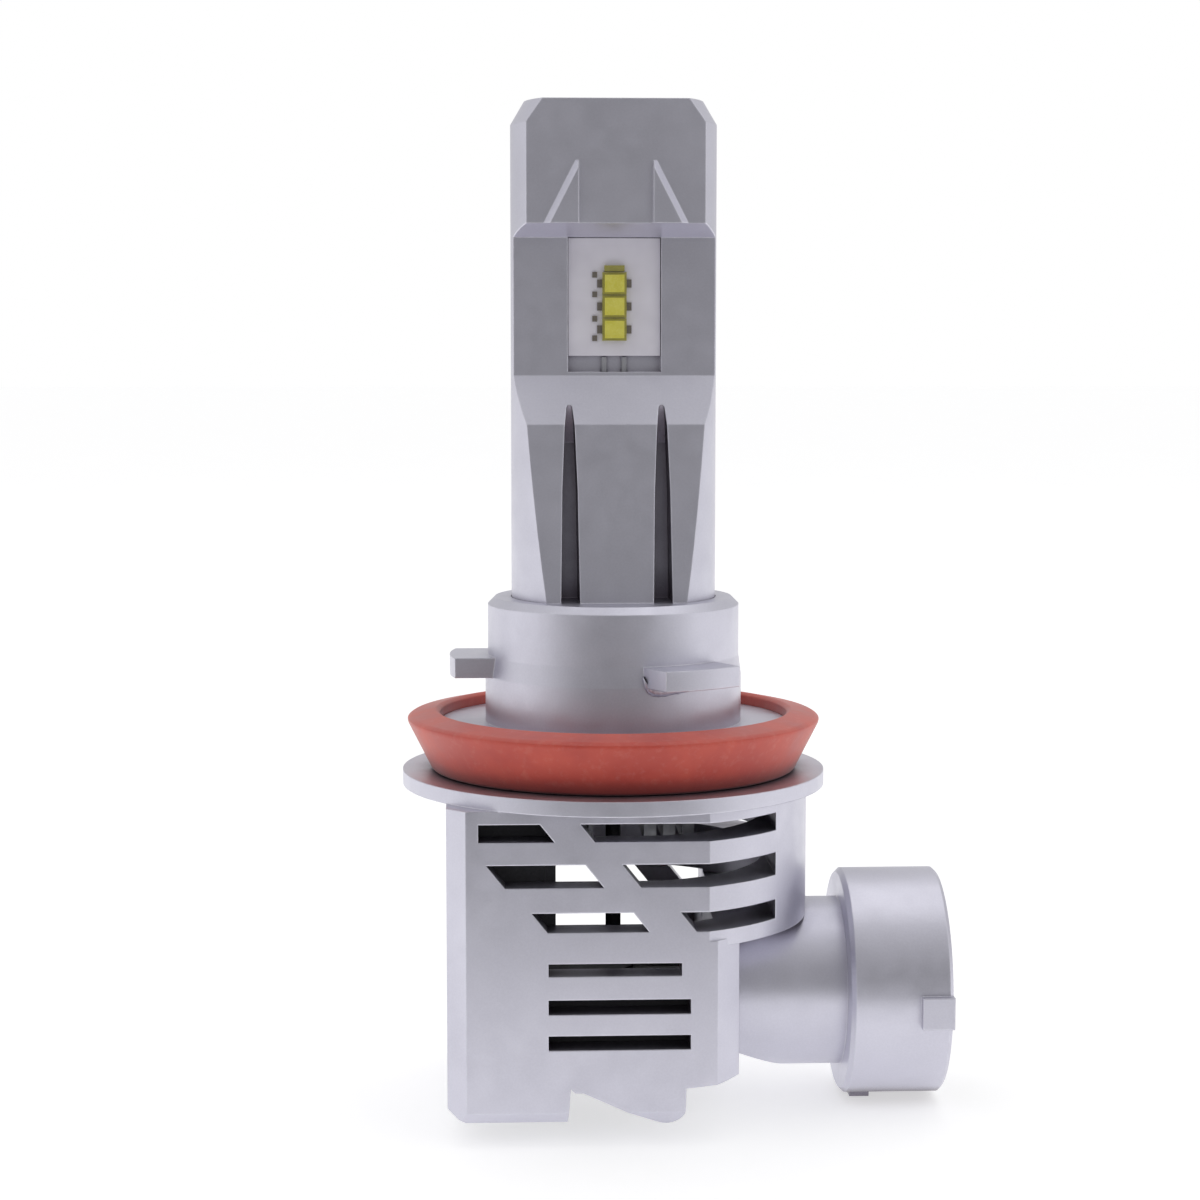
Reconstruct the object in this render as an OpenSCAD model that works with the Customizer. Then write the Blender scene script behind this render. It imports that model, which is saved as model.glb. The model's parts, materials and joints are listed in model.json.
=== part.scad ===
// All-in-one LED headlight bulb with a 19 mm bayonet collar, a fan-cooled
// louvred housing and a right-angle harness connector.
// Origin: on the lamp axis, at the underside of the three locating tabs.
// +Z points to the lamp tip, +X to the connector, -Y to the front light face.

/* [Lamp column] */
// Radius of the lamp column
column_r = 7.7; // [7.4:0.1:7.9]
// Height of the column tip above the reference plane
column_top = 42.7; // [41:0.1:45]
// Half thickness of the column at its tip
tip_half = 4.0; // [3.8:0.1:4.4]
// Half thickness of the column behind the emitters
recess_half = 1.7; // [1.6:0.05:1.9]
// Height of the emitter centre above the reference plane
emitter_z = 27.6; // [27:0.1:28.4]
// Side of one square emitter
emitter_side = 1.3; // [1:0.1:1.5]
// Distance between emitter centres
emitter_pitch = 1.7; // [1.6:0.05:1.9]

/* [Mounting collar] */
// Radius of the mounting collar
collar_r = 9.5; // [9.3:0.05:9.6]
// Height of the collar above the reference plane
collar_top = 5.85; // [5.4:0.05:6.2]
// Radius to the end of a locating tab
tab_reach = 12.4; // [12:0.1:12.8]
// Width of a locating tab
tab_w = 6.4; // [5:0.1:7]
// Thickness of a locating tab
tab_t = 1.5; // [1.2:0.1:1.6]

/* [Seal and flange] */
// Radius of the boss that carries the seal
boss_r = 13.1; // [13:0.05:13.2]
// Outer radius of the seal lip
seal_r = 15.65; // [15.2:0.05:15.9]
// Radius of the housing flange
flange_r = 16.0; // [15.7:0.1:16.4]

/* [Housing] */
// Half depth between the front and rear faces
house_half = 13.3; // [13.2:0.1:13.6]
// Radius of the round side of the upper housing
house_r = 14.7; // [14.5:0.1:14.9]
// Distance from the lamp axis to the flat side wall
house_left = 12.6; // [12.5:0.1:12.9]
// Wall thickness of the front and rear faces
face_wall = 2.4; // [2.2:0.1:2.6]

/* [Connector] */
// Height of the connector axis below the reference plane
connector_drop = 24.0; // [24:0.1:24.2]
// Radius of the connector hood
hood_r = 8.6; // [8.4:0.1:8.7]
// Length of the connector hood
hood_len = 7.6; // [7.4:0.1:8.4]

/* [Fan] */
// Number of fan blades
blade_count = 7; // [5:1:9]
// Outer radius of the fan blades
blade_r = 8.1; // [7.8:0.1:8.2]

/* [Hidden] */
$fn = 96;

cast_silver = [0.80, 0.81, 0.84];
board_white = [0.78, 0.78, 0.84];
plastic_black = [0.08, 0.08, 0.09];
board_green = [0.10, 0.30, 0.16];
copper_red = [0.72, 0.42, 0.26];
steel_grey = [0.62, 0.63, 0.65];
seal_red = [0.80, 0.29, 0.24];
lead_red = [0.68, 0.12, 0.10];
lead_black = [0.12, 0.12, 0.13];
lead_white = [0.80, 0.80, 0.82];
package_yellow = [0.42, 0.42, 0.22];
phosphor_yellow = [0.93, 0.88, 0.25];
solder_grey = [0.30, 0.28, 0.26];
ferrite_grey = [0.20, 0.20, 0.22];
ceramic_tan = [0.75, 0.66, 0.42];
bronze = [0.72, 0.60, 0.38];
fan_black = [0.10, 0.10, 0.11];
magnet_grey = [0.25, 0.25, 0.27];
tin = [0.78, 0.68, 0.40];
eps = 0.01;
fit_gap = 0.05;

// Lamp column
column_bottom = -7.2;
tip_chamfer_r = column_r - 1.0;
tip_chamfer_z = column_top - 1.7;
undercut_z = 33.65;
recess_top = 32.7;
recess_bottom = 22.5;
ramp_bottom = 18.9;
foot_half = 5.7;
core_half_w = 4.6;
core_half_t = 0.7;
core_bottom = 13.5;
core_top = 40.5;
pocket_half_w = 3.47;
pocket_depth = 0.75;
pocket_bottom = 22.75;
lead_bore_r = 1.6;
lead_bore_top = 12;
lead_x = 0.75;
lead_y = 1.15;
channel_r = 0.3;
groove_x = 3.42;
groove_w = [1.4, 1.15, 0.76, 0.45];
groove_z = [collar_top - 0.05, 14, 18.7, 20.1];
groove_floor_half = 1.35;
groove_rise_z = 17.5;
groove_tip = [3.1, 20.4];
gusset_inner = 2.75;
gusset_apex = [3.0, 38.2];
gusset_outer = 5.34;
gusset_rise = 0.45;

// Emitter boards
board_t = 0.45;
board_bottom = 23.95;
board_top = recess_top - fit_gap;
board_back = recess_half - pocket_depth;
board_face = board_back + board_t;
package_t = 0.4;
package_w = emitter_side + 0.5;
package_h = emitter_pitch - 0.04;
phosphor_t = 0.18;
phosphor_w = emitter_side + 0.16;
diode_w = 1.5;
diode_h = 0.45;
diode_t = 0.3;
pad_t = 0.1;
pad_w = 0.36;
pad_h = 0.6;
small_pad_h = 0.42;
small_pad_z = [-2.35, -0.9, 0.9, 2.35];

// Collar and boss
collar_bevel = 0.55;
collar_foot_r = collar_r + 0.2;
boss_top = -3.6;
flange_top = -7.2;
flange_bottom = -8.3;
roof_bottom = -8.9;
tab_angles = [60, 180, 300];
collar_screw_angles = [0, 120, 240];
collar_screw_at = 10.9;
column_screw_y = 5.9;

// Screws, as [shank radius, shank length, head radius, head height], and the holes for them
column_screw = [0.78, 5.6, 1.6, 0.9];
column_screw_hole = [0.8, 6];
collar_screw = [0.73, 3.2, 0.93, 0.58];
collar_screw_hole = [0.75, 3.6];
fan_screw = [0.48, 6.9, 1.0, 0.6];
column_screw_gap_r = 1.05;
collar_head_gap_r = 0.95;
column_head_gap_r = 1.75;
fan_screw_pilot_r = 0.5;
fan_screw_gap_r = 0.62;

// Seal
seal_foot_w = 0.65;
lip_z = -3.3;
lip_edge = [0.03, 0.2];
lip_bevel = [0.3, 0.22];
seal_crown = [0.3, 0.62];
seal_bore_top = 0.4;

// Housing
corner = 1.4;
left_wall = 1.3;
round_inner_r = 11.3;
upper_bottom = -18.3;
shoulder_top = -17.2;
lower_right = 8.6;
lower_inner_right = 6.9;
foot_z = -31.25;
side_foot_z = -28.1;
face_inner = house_half - face_wall;
slot_end_x = 11.45;
slant = 0.8;
lower_corner = 1.7;
foot_corner = [1.3, 0.95];
foot_chamfer = 0.9;
foot_notch_x = -3.8;
foot_notch_top = -28.9;
toe_x = 3.25;
toe_r = 1.35;
toe_z = -31.5;
toe_step_z = -28.65;
side_foot_slant = [0.9, 0.2];

// Front louvres: [top z, bottom z, left x, left end slants, right x, right end slants]
front_slots = [
    [-9.25, -10.55, -10.3, 0, -5.9, 1],
    [-9.25, -10.55, -3.0, 1, slot_end_x, 0],
    [-12.2, -13.87, -9.75, 1, -2.65, 1],
    [-12.2, -13.87, 0.0, 1, slot_end_x, 0],
    [-15.7, -17.12, -6.5, 1, 0.8, 1],
    [-15.7, -17.12, 4.2, 1, slot_end_x, 0],
    [-19.4, -20.33, -5.3, 0, 4.3, 0],
    [-22.05, -23.12, -5.3, 0, 4.95, 0],
    [-24.68, -25.74, -5.3, 0, 4.95, 0]
];
// Rear louvres, set lower so that air crosses the driver on its way out
rear_slots = [
    [-9.6, -10.6, -10.3, 0, 4.5, 0],
    [-12.3, -13.4, -9.8, 0, slot_end_x, 0],
    [-17.0, -19.1, -9.8, 1, 2.2, 1],
    [-17.0, -19.1, 4.9, 1, 7.6, 0],
    [-20.9, -22.8, -6.0, 1, 3.6, 0],
    [-24.7, -25.8, -5.3, 0, 4.95, 0]
];

// Fan
fan_x = -2.2;
fan_half_x = 9.0;
fan_half_y = face_inner - 0.08;
fan_top = -22.0;
fan_bottom = -27.6;
fan_bore_r = 8.4;
fan_screw_at = [7.95, fan_half_y - 1.15];
base_r = 3.7;
base_top = -26.9;
tube_r = 1.5;
tube_top = -23.7;
bearing_r = 1.1;
bearing_z = fan_bottom + 0.62;
shaft_r = 0.5;
shaft_gap = 0.04;
hub_r = 3.85;
hub_inner_r = 3.45;
hub_top = -22.35;
hub_skin = 0.5;
rotor_bottom = -26.1;
magnet_r = 3.05;
stator_r = 2.8;
stator_z = [-25.9, -24.2];
fan_board_r = 3.3;
fan_board_z = [-26.85, -26.45];
strut_w = 0.9;
strut_angles = [45, 135, 225, 315];
lead_channel = [0.5, 6.6];
lead_exit_y = 2.75;
lead_exit = [2.2, 1.2, 0.7];
pole_angles = [0, 90, 180, 270];
pole_w = 0.6;
pole_reach = 1.0;
shoe_w = 2.6;
coil_inner = 0.32;
coil_outer = 0.62;
coil_at = 0.4;
coil_l = 0.5;
coil_over = 0.3;
magnet_h = 2.5;
shaft_end = 0.2;
retainer_r = 0.85;
retainer_t = 0.14;
retainer_z = fan_bottom + 0.42;
guard_t = 0.5;
guard_rings = [3.0, 4.9, 6.8];
guard_ring_gap = 1.3;
spoke_w = 1.0;
blade_t = 0.55;
blade_tilt = 38;

// Driver
tray_x = [-11.2, -4.7];
tray_half_y = face_inner - 0.2;
tray_z = [-18.0, -9.3];
tray_wall = 0.8;
driver_board_x = -9.4;
driver_board_t = 0.8;
driver_face = driver_board_x + driver_board_t;
lead_hole_x = driver_board_x + 1.6;
lead_hole_y = [-3, -1, 1, 3];
lead_hole_r = 0.35;
tray_lead_z = tray_z[0] + tray_wall + 0.4;
board_lead_z = pocket_bottom + 1.1;
inductor_r = 2.5;
inductor_at = [-5.2, -13.2];
capacitor = [1.5, 1.4, 1.8];
capacitor_y = [0.6, 3.0, 5.4];
capacitor_z = [-11.9, -15.1];
// Driver chips: [y and z of the lower corner], [height off the board, width, length]
chips = [
    [[7.0, -14.7], [1.1, 2.4, 3.2]],
    [[-2.0, -12.6], [1.0, 1.6, 2.2]],
    [[-9.4, -15.2], [1.1, 1.4, 3.6]]
];

// Connector
axis_z = -connector_drop;
neck_r = 6.4;
spigot_r = 3.75;
neck_end = 17.3;
hood_end = neck_end + hood_len;
hood_wall = 1.2;
hood_floor_x = neck_end + 1.2;
mouth_r = hood_r - 1.0;
mouth_depth = 1.5;
underside_run = 5.0;
underside_rise = 2.3;
neck_bore_r = 4.6;
spigot_bore_r = 2.9;
blade_y = 2.5;
blade_w = 0.64;
blade_h = 2.3;
blade_end = hood_end - 1.6;
carrier_face = hood_floor_x + 0.8;
carrier_back = lower_right + 1.65;
hood_bevel = 0.25;
hood_back_bevel = 0.35;
nub = [2.4, 1.4, 2.4];
nub_proud = 0.55;
key_rib = [1.5, 2.4, 1.0];
key_rib_proud = 0.35;
ring_groove_x = [lower_inner_right + 0.5, lower_inner_right + 1.15];
ring_groove_depth = 0.45;
tip_chamfer = [0.7, 0.6];
tail_half = 0.4;

// Leads
lead_sides = 10;
bend_reach = 0.45;
thin_lead_r = 0.2;
fan_lead_r = 0.18;
input_lead_r = 0.3;
sleeve_r = 0.58;
sleeve_wall = 0.11;
sleeve_z = [-19.9, -8.9];

// ---------- helpers ----------

module at_both_y() {
    children();
    mirror([0, 1, 0]) children();
}

// Route of a lead: straight runs joined by smooth bends that start bend_reach before each corner
function unit(v) = v / norm(v);
function bend(before, corner, after) =
    let (
        start = corner + bend_reach * unit(before - corner),
        end = corner + bend_reach * unit(after - corner)
    )
    [for (t = [0 : 0.25 : 1]) (1 - t) * (1 - t) * start + 2 * t * (1 - t) * corner + t * t * end];
function smooth_route(p) = concat(
    [p[0]],
    [for (i = [1 : len(p) - 2]) each bend(p[i - 1], p[i], p[i + 1])],
    [p[len(p) - 1]]
);

// One ring of points around a route, square to it
function lead_ring(path, i, r) =
    let (
        along = unit(path[min(i + 1, len(path) - 1)] - path[max(i - 1, 0)]),
        side = unit(cross([0, 1, 0], along)),
        up = cross(along, side)
    )
    [for (k = [0 : lead_sides - 1])
        path[i] + r * (cos(k * 360 / lead_sides) * side + sin(k * 360 / lead_sides) * up)];

// Insulated lead swept along a route
module wire(points, r) {
    path = smooth_route(points);
    rings = len(path);
    polyhedron(
        points = [for (i = [0 : rings - 1]) each lead_ring(path, i, r)],
        faces = concat(
            [[for (k = [0 : lead_sides - 1]) k]],
            [for (i = [0 : rings - 2], k = [0 : lead_sides - 1])
                let (a = i * lead_sides + k, b = i * lead_sides + (k + 1) % lead_sides)
                    each [[a, a + lead_sides, b], [b, a + lead_sides, b + lead_sides]]],
            [[for (k = [lead_sides - 1 : -1 : 0]) (rings - 1) * lead_sides + k]]
        )
    );
}

// Solid turned about the connector axis: profile points are [distance along X, radius]
module turned_x(profile) {
    translate([0, 0, axis_z])
        rotate([0, 90, 0])
            rotate_extrude()
                polygon([for (p = profile) [p[1], p[0]]]);
}

// Pan-head screw that points up, with a cross recess in the head underneath
module screw_up(size) {
    head_r = size[2];
    head_h = size[3];
    cylinder(r = size[0], h = size[1], $fn = 32);
    difference() {
        translate([0, 0, -head_h]) cylinder(r = head_r, h = head_h, $fn = 32);
        for (a = [0, 90]) {
            rotate([0, 0, a])
                translate([-head_r * 0.6, -head_r * 0.12, -head_h - eps])
                    cube([head_r * 1.2, head_r * 0.24, head_h * 0.5]);
        }
    }
}

// ---------- lamp column ----------

// Side profile of the column: [half thickness, height]
function column_side() = [
    [column_r + 1, column_bottom - 1],
    [column_r + 1, collar_top - 0.05],
    [foot_half, collar_top - 0.05],
    [tip_half, ramp_bottom],
    [recess_half, recess_bottom],
    [recess_half, recess_top],
    [tip_half, undercut_z],
    [tip_half, column_top + 1]
];

module column_body() {
    side = column_side();
    count = len(side);
    outline = concat(side, [for (i = [1 : count]) [-side[count - i][0], side[count - i][1]]]);
    intersection() {
        rotate_extrude()
            polygon([
                [0, column_bottom], [column_r, column_bottom], [column_r, tip_chamfer_z],
                [tip_chamfer_r, column_top], [0, column_top]
            ]);
        rotate([90, 0, 90])
            linear_extrude(height = 4 * column_r, center = true)
                polygon(outline);
    }
}

// Groove on the front of the column: it narrows upwards, and its floor rises to the surface there
module groove() {
    last = len(groove_z) - 1;
    right = [for (i = [0 : last]) [groove_w[i] / 2, groove_z[i]]];
    left = [for (i = [last : -1 : 0]) [-groove_w[i] / 2, groove_z[i]]];
    intersection() {
        rotate([90, 0, 0])
            linear_extrude(height = column_r) {
                polygon(concat(right, left));
                translate([0, groove_z[last]]) circle(d = groove_w[last], $fn = 32);
            }
        rotate([90, 0, 90])
            linear_extrude(height = 2 * groove_w[0], center = true)
                polygon([
                    [-column_r, groove_z[0] - 1], [-groove_floor_half, groove_z[0] - 1],
                    [-groove_floor_half, groove_rise_z], [-groove_tip[0], groove_tip[1]],
                    [-column_r, groove_tip[1]]
                ]);
    }
}

// Raised gusset above the emitter recess, with a chamfer down its slanted side
module gusset() {
    run = [gusset_outer - gusset_apex[0], undercut_z - gusset_apex[1]];
    middle = gusset_apex + run / 2;
    lean = atan2(run[0], -run[1]);
    chamfer = gusset_rise * sqrt(2);
    top_y = -tip_half + eps - gusset_rise;
    difference() {
        translate([0, -tip_half + eps, 0])
            rotate([90, 0, 0])
                linear_extrude(height = gusset_rise)
                    polygon([
                        [gusset_inner, undercut_z], [gusset_outer, undercut_z],
                        gusset_apex, [gusset_inner, gusset_apex[1]]
                    ]);
        translate([middle[0], top_y, middle[1]])
            rotate([0, -lean, 0])
                rotate([0, 0, 45])
                    cube([chamfer, chamfer, 2 * norm(run)], center = true);
    }
}

module lamp_column() {
    color(cast_silver)
        difference() {
            union() {
                column_body();
                at_both_y() {
                    for (side = [0, 1]) {
                        mirror([side, 0, 0]) gusset();
                    }
                }
            }
            at_both_y() {
                translate([-groove_x, 0, 0]) groove();
                translate([groove_x, 0, 0]) groove();
                translate([-pocket_half_w, -recess_half - 1, pocket_bottom])
                    cube([2 * pocket_half_w, 1 + pocket_depth, recess_top - pocket_bottom]);
            }
            // Slot for the copper core, and the lead bore with its four channels
            translate([-core_half_w, -core_half_t, core_bottom])
                cube([2 * core_half_w, 2 * core_half_t, core_top - core_bottom]);
            translate([0, 0, column_bottom - 1])
                cylinder(r = lead_bore_r, h = lead_bore_top - column_bottom + 1, $fn = 48);
            for (sx = [-1, 1], sy = [-1, 1]) {
                translate([sx * lead_x, sy * lead_y, lead_bore_top - 1])
                    cylinder(r = channel_r, h = pocket_bottom - lead_bore_top + 1.2, $fn = 24);
            }
            for (sy = [-1, 1]) {
                translate([0, sy * column_screw_y, column_bottom - 1])
                    cylinder(r = column_screw_hole[0], h = column_screw_hole[1], $fn = 32);
            }
        }
}

module copper_core() {
    color(copper_red)
        translate([-core_half_w + fit_gap, -core_half_t + fit_gap, core_bottom + fit_gap])
            cube([
                2 * (core_half_w - fit_gap), 2 * (core_half_t - fit_gap),
                core_top - core_bottom - 2 * fit_gap
            ]);
}

// ---------- emitter boards ----------

module led_board() {
    color(board_white)
        translate([-pocket_half_w + fit_gap, -board_face, board_bottom])
            cube([2 * (pocket_half_w - fit_gap), board_t, board_top - board_bottom]);
}

module emitter_row(w, h, thickness, back) {
    for (i = [-1, 0, 1]) {
        translate([-w / 2, -back - thickness, emitter_z + i * emitter_pitch - h / 2])
            cube([w, thickness, h]);
    }
}

// Three emitter packages in a row, and the protection diode above them
module led_emitters() {
    diode_z = emitter_z + emitter_pitch + package_h / 2 + 0.06;
    color(package_yellow) {
        emitter_row(package_w, package_h, package_t, board_face);
        translate([-diode_w / 2, -board_face - diode_t, diode_z])
            cube([diode_w, diode_t, diode_h]);
    }
}

module led_phosphor() {
    color(phosphor_yellow)
        emitter_row(phosphor_w, emitter_side, phosphor_t, board_face + package_t);
}

module pad(x, z, h) {
    translate([x - pad_w / 2, -board_face - pad_t, z - h / 2]) cube([pad_w, pad_t, h]);
}

// Solder pads: one on each side of every emitter, and a column of small ones further out
module solder_pads() {
    near_x = package_w / 2 + pad_w / 2 + 0.02;
    color(solder_grey) {
        for (side = [-1, 1], i = [-1, 0, 1]) {
            pad(side * near_x, emitter_z + i * emitter_pitch, pad_h);
        }
        for (z = small_pad_z) {
            pad(-near_x - pad_w, emitter_z + z, small_pad_h);
        }
    }
}

module led_board_front() { led_board(); }
module led_board_rear() { mirror([0, 1, 0]) led_board(); }
module led_emitters_front() { led_emitters(); }
module led_emitters_rear() { mirror([0, 1, 0]) led_emitters(); }
module led_phosphor_front() { led_phosphor(); }
module led_phosphor_rear() { mirror([0, 1, 0]) led_phosphor(); }
module solder_pads_front() { solder_pads(); }
module solder_pads_rear() { mirror([0, 1, 0]) solder_pads(); }

// ---------- collar and seal ----------

// Round collar, slightly wider below the tabs, on the boss that carries the seal
module mounting_collar() {
    bore = column_r + fit_gap;
    color(cast_silver)
        difference() {
            union() {
                rotate_extrude()
                    polygon([
                        [bore, flange_top], [boss_r, flange_top], [boss_r, boss_top],
                        [collar_foot_r, boss_top], [collar_foot_r, 0], [collar_r, tab_t],
                        [collar_r, collar_top - collar_bevel],
                        [collar_r - collar_bevel, collar_top], [bore, collar_top]
                    ]);
                for (a = tab_angles) {
                    rotate([0, 0, a])
                        intersection() {
                            translate([collar_r - 0.6, -tab_w / 2, 0])
                                cube([tab_reach, tab_w, tab_t]);
                            cylinder(r = tab_reach, h = tab_t);
                        }
                }
            }
            for (a = collar_screw_angles) {
                rotate([0, 0, a])
                    translate([collar_screw_at, 0, flange_top - 1])
                        cylinder(r = collar_screw_hole[0], h = collar_screw_hole[1], $fn = 32);
            }
        }
}

// Flared lip seal: a narrow foot on the flange, and a crowned lip at the top
module sealing_gasket() {
    inner = boss_r + fit_gap;
    foot = flange_top + fit_gap;
    color(seal_red)
        rotate_extrude()
            polygon([
                [inner, foot], [inner + seal_foot_w, foot], [seal_r, lip_z - lip_edge[1]],
                [seal_r - lip_edge[0], lip_z], [seal_r - lip_bevel[0], lip_z + lip_bevel[1]],
                [inner + seal_crown[0], lip_z + seal_crown[1]], [inner, lip_z + seal_bore_top]
            ]);
}

// ---------- housing ----------

// Plan outline of the flat-sided part: chamfered corners at both ends
module plan_box(right, right_corner) {
    polygon([
        [-house_left, -house_half + corner], [-house_left + corner, -house_half],
        [right - right_corner, -house_half], [right, -house_half + right_corner],
        [right, house_half - right_corner], [right - right_corner, house_half],
        [-house_left + corner, house_half], [-house_left, house_half - corner]
    ]);
}

// Everything left of the axis, and a circle that rounds off the right
module round_right(r) {
    far = 2 * house_r;
    circle(r = r);
    translate([-far, -far]) square([far, 2 * far]);
}

// Lower outline seen from the front: [x, z], with a foot, a notch and a rounded toe
module lower_outline() {
    polygon([
        [-house_left, upper_bottom + 1], [-house_left, foot_z + foot_corner[1]],
        [-house_left + foot_corner[0], foot_z], [foot_notch_x - 0.1, foot_z],
        [foot_notch_x + 0.1, foot_notch_top + 0.3], [foot_notch_x + 0.4, foot_notch_top],
        [foot_notch_x + 1.0, foot_notch_top],
        [toe_x - toe_r * 0.5, toe_z + 0.15], [toe_x + toe_r, toe_z + toe_r],
        [toe_x + toe_r + 0.05, toe_step_z],
        [lower_right - side_foot_slant[0], side_foot_z - side_foot_slant[1]],
        [lower_right, side_foot_z], [lower_right, upper_bottom + 1]
    ]);
    translate([toe_x, toe_z + toe_r]) circle(r = toe_r, $fn = 48);
}

module slot_cut(s) {
    height = s[0] - s[1];
    shift = slant * height;
    depth = 2 * house_half;
    rotate([90, 0, 0])
        linear_extrude(height = depth)
            polygon([
                [s[2] + (s[3] == 1 ? shift : 0), s[1]], [s[4] + (s[5] == 1 ? shift : 0), s[1]],
                [s[4], s[0]], [s[2], s[0]]
            ]);
}

module housing_outer() {
    translate([0, 0, upper_bottom])
        linear_extrude(height = flange_bottom - upper_bottom + eps)
            intersection() {
                plan_box(house_r, eps);
                round_right(house_r);
            }
    intersection() {
        translate([0, 0, toe_z - 1])
            linear_extrude(height = upper_bottom + 0.5 - toe_z + 1)
                plan_box(lower_right, lower_corner);
        rotate([90, 0, 0])
            linear_extrude(height = 4 * house_half, center = true)
                lower_outline();
    }
    translate([0, 0, flange_bottom])
        cylinder(r = flange_r, h = flange_top - flange_bottom);
}

// Wedge that chamfers the front edge of the feet
module foot_edge() {
    rotate([90, 0, 90])
        linear_extrude(height = 4 * house_left, center = true)
            polygon([
                [-house_half - 1, foot_z + foot_chamfer + 1], [-house_half - 1, toe_z - 1],
                [-house_half + foot_z + foot_chamfer - toe_z + 1, toe_z - 1]
            ]);
}

module housing_cavity() {
    left = -house_left + left_wall;
    // Upper room: flat on the left, round on the right
    translate([0, 0, shoulder_top])
        linear_extrude(height = roof_bottom - shoulder_top)
            intersection() {
                translate([left, -face_inner]) square([left * -2, 2 * face_inner]);
                round_right(round_inner_r);
            }
    // Lower room, open at the bottom
    translate([left, -face_inner, toe_z - 2])
        cube([lower_inner_right - left, 2 * face_inner, shoulder_top - toe_z + 2 + eps]);
}

// Four lugs that take the fan screws
module fan_lugs() {
    lug = [2.3, 2.5, 1.4];
    for (sx = [-1, 1], sy = [-1, 1]) {
        translate([
            fan_x + sx * fan_screw_at[0] - lug[0] / 2, sy * fan_screw_at[1] - lug[1] / 2,
            fan_top + fit_gap
        ])
            cube(lug);
    }
}

module housing() {
    color(cast_silver)
        difference() {
            union() {
                difference() {
                    housing_outer();
                    housing_cavity();
                    at_both_y() {
                        foot_edge();
                    }
                    for (s = front_slots) {
                        slot_cut(s);
                    }
                    for (s = rear_slots) {
                        mirror([0, 1, 0]) slot_cut(s);
                    }
                }
                fan_lugs();
            }
            // Socket for the connector neck and its spigot
            turned_x([
                [lower_right, 0], [neck_end, 0], [neck_end, neck_r + fit_gap],
                [lower_right, neck_r + fit_gap]
            ]);
            turned_x([
                [lower_inner_right - 1, 0], [lower_right + 1, 0],
                [lower_right + 1, spigot_r + fit_gap], [lower_inner_right - 1, spigot_r + fit_gap]
            ]);
            // Lead passage and screw holes in the roof
            translate([0, 0, roof_bottom - 1])
                cylinder(r = lead_bore_r, h = 3, $fn = 48);
            for (sy = [-1, 1]) {
                translate([0, sy * column_screw_y, roof_bottom - 1])
                    cylinder(r = column_screw_gap_r, h = 3, $fn = 32);
            }
            for (a = collar_screw_angles) {
                rotate([0, 0, a])
                    translate([collar_screw_at, 0, roof_bottom - 1])
                        cylinder(r = collar_head_gap_r, h = 3, $fn = 32);
            }
            for (sx = [-1, 1], sy = [-1, 1]) {
                translate([fan_x + sx * fan_screw_at[0], sy * fan_screw_at[1], fan_top - 1])
                    cylinder(r = fan_screw_pilot_r, h = 2.1, $fn = 24);
            }
        }
}

// Fins under the housing roof: [left face, thickness]
fins = [[-2.9, 0.35], [-2.2, 0.35], [1.9, 0.9], [3.3, 0.9], [4.7, 0.9]];

module inner_heat_sink() {
    half_y = 7.6;
    plate_x = -3.2;
    plate_w = 11;
    fin_drop = 2.0;
    plate_z = [roof_bottom - 0.7, roof_bottom - fit_gap];
    color(cast_silver)
        difference() {
            union() {
                translate([plate_x, -half_y, plate_z[0]])
                    cube([plate_w, 2 * half_y, plate_z[1] - plate_z[0]]);
                for (fin = fins) {
                    translate([fin[0], -half_y, plate_z[0] - fin_drop])
                        cube([fin[1], 2 * half_y, fin_drop + eps]);
                }
            }
            translate([0, 0, plate_z[0] - 1]) cylinder(r = lead_bore_r, h = 3, $fn = 48);
            for (sy = [-1, 1]) {
                translate([0, sy * column_screw_y, plate_z[0] - 1])
                    cylinder(r = column_head_gap_r, h = 3, $fn = 48);
            }
        }
}

module column_screws() {
    color(steel_grey)
        for (sy = [-1, 1]) {
            translate([0, sy * column_screw_y, roof_bottom - 0.02])
                screw_up(column_screw);
        }
}

module collar_screws() {
    color(steel_grey)
        for (a = collar_screw_angles) {
            rotate([0, 0, a])
                translate([collar_screw_at, 0, roof_bottom + 0.6])
                    screw_up(collar_screw);
        }
}

// ---------- driver ----------

module tray_block(inset, x0, x1) {
    translate([x0, -tray_half_y + inset, tray_z[0] + inset])
        cube([x1 - x0, 2 * (tray_half_y - inset), tray_z[1] - tray_z[0] - 2 * inset]);
}

module driver_tray() {
    lid = tray_x[1] - tray_wall;
    color(plastic_black)
        difference() {
            tray_block(0, tray_x[0], lid);
            tray_block(tray_wall, tray_x[0] + tray_wall, tray_x[1]);
            for (y = lead_hole_y) {
                translate([lead_hole_x, y, tray_z[0] - 1])
                    cylinder(r = lead_hole_r, h = 3, $fn = 24);
            }
        }
}

module driver_cover() {
    color(plastic_black) {
        tray_block(0, tray_x[1] - tray_wall + 0.02, tray_x[1]);
        difference() {
            tray_block(tray_wall + 0.03, tray_x[1] - tray_wall - 0.5, tray_x[1] - tray_wall + 0.04);
            tray_block(tray_wall + 0.6, tray_x[1] - tray_wall - 0.6, tray_x[1] - tray_wall + 0.02);
        }
    }
}

module driver_board() {
    inset = tray_wall + 0.1;
    color(board_green) tray_block(inset, driver_board_x, driver_board_x + driver_board_t);
}

module driver_inductor() {
    flange_h = 0.5;
    waist_h = 1.1;
    color(ferrite_grey)
        translate([driver_face, inductor_at[0], inductor_at[1]])
            rotate([0, 90, 0]) {
                cylinder(r = inductor_r, h = flange_h, $fn = 48);
                translate([0, 0, flange_h - 0.05])
                    cylinder(r = inductor_r - 0.6, h = waist_h + 0.1, $fn = 48);
                translate([0, 0, flange_h + waist_h])
                    cylinder(r = inductor_r, h = flange_h, $fn = 48);
            }
}

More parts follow.
